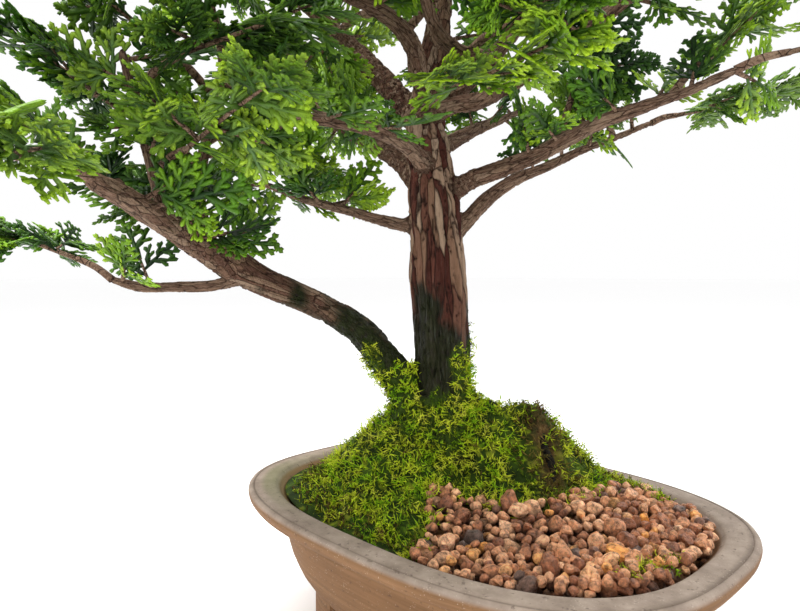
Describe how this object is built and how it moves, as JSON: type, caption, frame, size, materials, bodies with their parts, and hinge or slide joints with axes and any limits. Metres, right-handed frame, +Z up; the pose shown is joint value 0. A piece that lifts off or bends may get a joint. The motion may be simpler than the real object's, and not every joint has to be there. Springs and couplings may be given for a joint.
{
  "type": "hinoki cypress bonsai",
  "caption": "Hinoki cypress bonsai with twin trunks and fan-shaped foliage on a moss mound, in an oval unglazed clay pot on corner feet.",
  "frame": {"origin": "on the table under the middle of the whole bonsai's bounding box", "axes": "+Z up, X along the pot's long side, -Y the pot's front long side"},
  "size_m": [0.4548, 0.4762, 0.4838],
  "materials": {
    "clay": "unglazed, matt, with fine pale specks",
    "screen_mesh": "matt black mesh",
    "soil": "damp and crumbly",
    "gravel": "rough fired-clay grains",
    "moss": "shaggy living moss",
    "bark": "peeling fibrous bark",
    "foliage": "leathery scale leaves with a soft sheen"
  },
  "bodies": {
    "root": {"drain_screen_left": "screen_mesh", "drain_screen_right": "screen_mesh", "gravel": "gravel", "moss": "moss", "pot": "clay", "soil": "soil", "spray_back_3": "foliage", "spray_back_left_1": "foliage", "spray_back_left_2": "foliage", "spray_back_right_0": "foliage", "spray_back_right_2": "foliage", "spray_front_0": "foliage", "spray_front_1": "foliage", "spray_front_2": "foliage", "spray_front_4": "foliage", "spray_front_left_0": "foliage", "spray_left_mid_2": "foliage", "spray_left_rise_1": "foliage", "spray_left_rise_2": "foliage", "spray_left_rise_3": "foliage", "spray_left_rise_4": "foliage", "spray_left_shoot_0": "foliage", "spray_left_shoot_2": "foliage", "spray_left_trunk_1": "foliage", "spray_left_trunk_3": "foliage", "spray_left_trunk_4": "foliage", "spray_left_upper_1": "foliage", "spray_left_upper_2": "foliage", "spray_left_upper_3": "foliage", "spray_loop_0": "foliage", "spray_loop_2": "foliage", "spray_low_left_2": "foliage", "spray_low_right_2": "foliage", "spray_low_right_3": "foliage", "spray_mid_left_2": "foliage", "spray_right_0": "foliage", "spray_right_2": "foliage", "spray_right_3": "foliage", "spray_trunk_1": "foliage", "spray_trunk_2": "foliage", "spray_trunk_3": "foliage", "spray_trunk_4": "foliage", "spray_upper_right_1": "foliage", "spray_upper_right_2": "foliage", "wood": "bark"}
  },
  "joints": []
}
